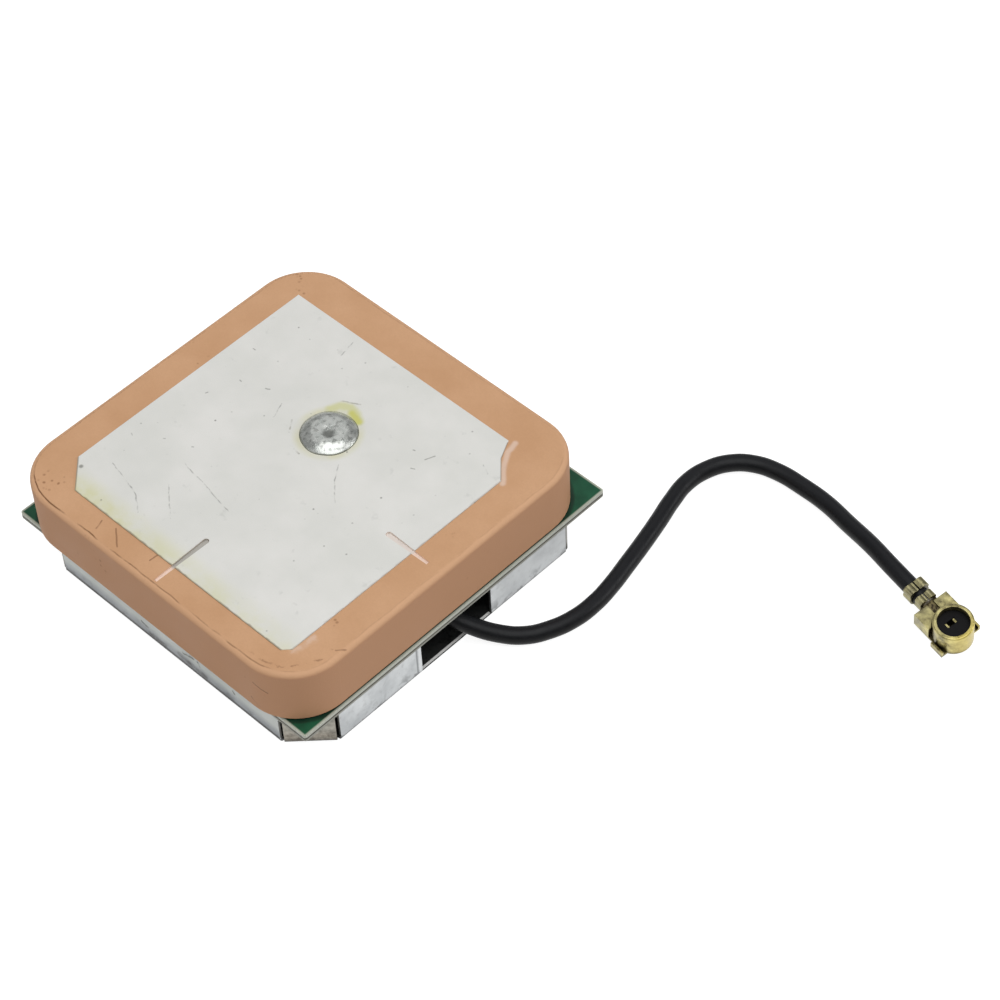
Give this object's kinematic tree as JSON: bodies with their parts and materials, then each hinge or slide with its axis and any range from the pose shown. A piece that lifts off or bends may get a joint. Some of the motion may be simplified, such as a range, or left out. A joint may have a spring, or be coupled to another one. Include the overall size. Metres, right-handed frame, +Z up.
{
  "type": "gps module",
  "caption": "Square ceramic patch antenna on a circuit board with a folded shield can beneath and a short coaxial lead ending in a micro coax plug.",
  "frame": {"origin": "centre of the shield can's underside, which is also the board's centre in plan", "axes": "+Z up through the board and the ceramic, +X out of the can wall that the lead leaves through"},
  "size_m": [0.0477, 0.0368, 0.0084],
  "materials": {
    "ceramic": "matt pressed tan ceramic with scuffed edges",
    "silver": "fired silver, matt and lightly scratched",
    "adhesive": "pale double-sided sheet",
    "solder": "dull solder",
    "pin": "tinned brass",
    "board": "green solder mask, pale sawn edges",
    "tin": "tinned copper",
    "can": "bright tinplate with handling marks",
    "chip_black": "black moulding",
    "chip_cream": "cream ceramic",
    "gold": "gold plate",
    "chip_brown": "brown ceramic",
    "chip_white": "white ceramic",
    "jacket": "black extruded jacket, slightly glossy",
    "braid": "tinned copper braid",
    "dielectric": "white dielectric",
    "plug_gold": "thin gold plate over stamped bronze",
    "insulator": "black moulding"
  },
  "bodies": {
    "root": {"ceramic_block": "ceramic", "patch_electrode": "silver", "ground_electrode": "silver", "adhesive_sheet": "adhesive", "feed_pin": "pin", "feed_solder_cap": "solder", "feed_solder_joint": "solder", "circuit_board": "board", "ground_rim": "tin", "board_pads": "tin", "shield_can": "can", "can_solder": "solder", "amplifier_chip": "chip_black", "amplifier_leads": "tin", "filter_body": "chip_cream", "filter_lid_plate": "gold", "capacitor_1": "chip_brown", "capacitor_2": "chip_brown", "capacitor_3": "chip_brown", "capacitor_1_ends": "tin", "capacitor_2_ends": "tin", "capacitor_3_ends": "tin", "inductor_1": "chip_white", "inductor_2": "chip_white", "inductor_1_ends": "tin", "inductor_2_ends": "tin", "resistor_1": "chip_black", "resistor_1_ends": "tin", "cable_jacket": "jacket", "cable_braid": "braid", "cable_dielectric": "dielectric", "cable_conductor": "tin", "cable_solder": "solder", "plug_shell": "plug_gold", "plug_ring": "plug_gold", "plug_insulator": "insulator", "plug_contact": "gold", "plug_braid": "braid", "plug_wire": "dielectric"}
  },
  "joints": []
}
